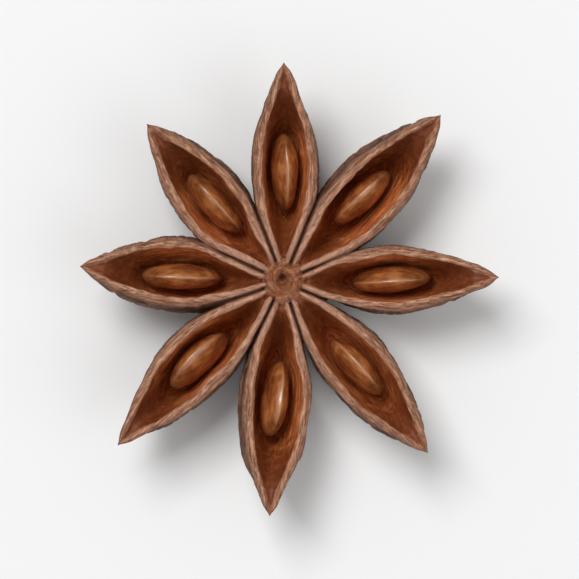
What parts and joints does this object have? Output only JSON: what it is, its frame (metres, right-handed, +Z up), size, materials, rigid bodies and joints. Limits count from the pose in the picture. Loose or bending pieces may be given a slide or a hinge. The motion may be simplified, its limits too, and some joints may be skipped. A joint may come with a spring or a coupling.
{
  "type": "star anise pod",
  "caption": "Dried star-shaped spice pod lying with its mouths up: boat-shaped carpels, split open along the top, round a short column, with one glossy seed in each.",
  "frame": {"origin": "middle of the pod's footprint, on the surface that its bellies lie on", "axes": "+Z up, the way the open mouths face; +X along the carpel that is a little narrower across the star, +Y along the longest line from beak to beak"},
  "size_m": [0.031, 0.0336, 0.0085],
  "materials": {
    "shell": "dry, wrinkled, matt",
    "seed": "smooth, glossy"
  },
  "bodies": {
    "root": {"pod": "shell", "seed_1": "seed", "seed_2": "seed", "seed_3": "seed", "seed_4": "seed", "seed_5": "seed", "seed_6": "seed", "seed_7": "seed", "seed_8": "seed"}
  },
  "joints": []
}
